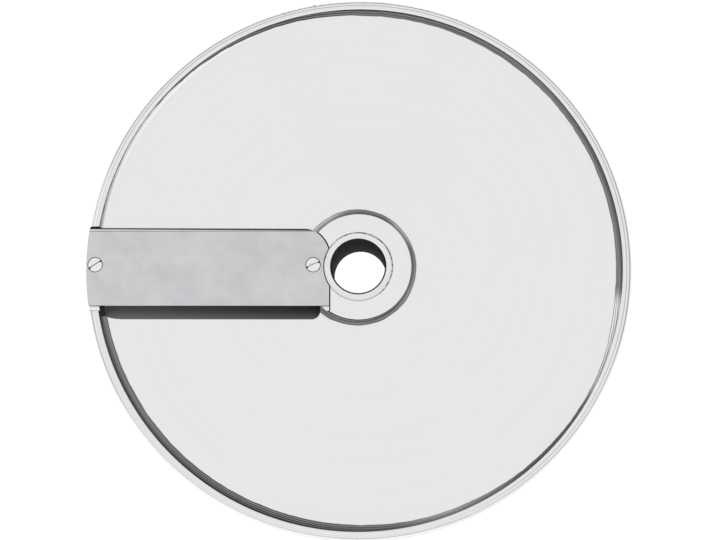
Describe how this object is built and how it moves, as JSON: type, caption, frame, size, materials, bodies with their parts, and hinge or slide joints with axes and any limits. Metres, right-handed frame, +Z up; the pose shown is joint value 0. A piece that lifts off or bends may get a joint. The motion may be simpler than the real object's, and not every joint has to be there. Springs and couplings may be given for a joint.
{
  "type": "slicing disc",
  "caption": "Round slicing disc for a vegetable cutter: turned aluminium disc with raised rim and bushed hub, and a flat steel blade screwed over a slanted slice slot.",
  "frame": {"origin": "centre of the bore at the hub's foot, which the disc stands on", "axes": "+Z up along the bore, towards the cutting side; the blade lies along -X with its cutting edge towards -Y"},
  "size_m": [0.205, 0.205, 0.031],
  "materials": {
    "disc_aluminium": "fine turned satin",
    "bush_steel": "fine turned",
    "blade_steel": "ground satin",
    "screw_steel": "bright turned"
  },
  "bodies": {
    "root": {"disc_body": "disc_aluminium", "hub_bush": "bush_steel", "slicing_blade": "blade_steel", "blade_screws": "screw_steel"}
  },
  "joints": []
}
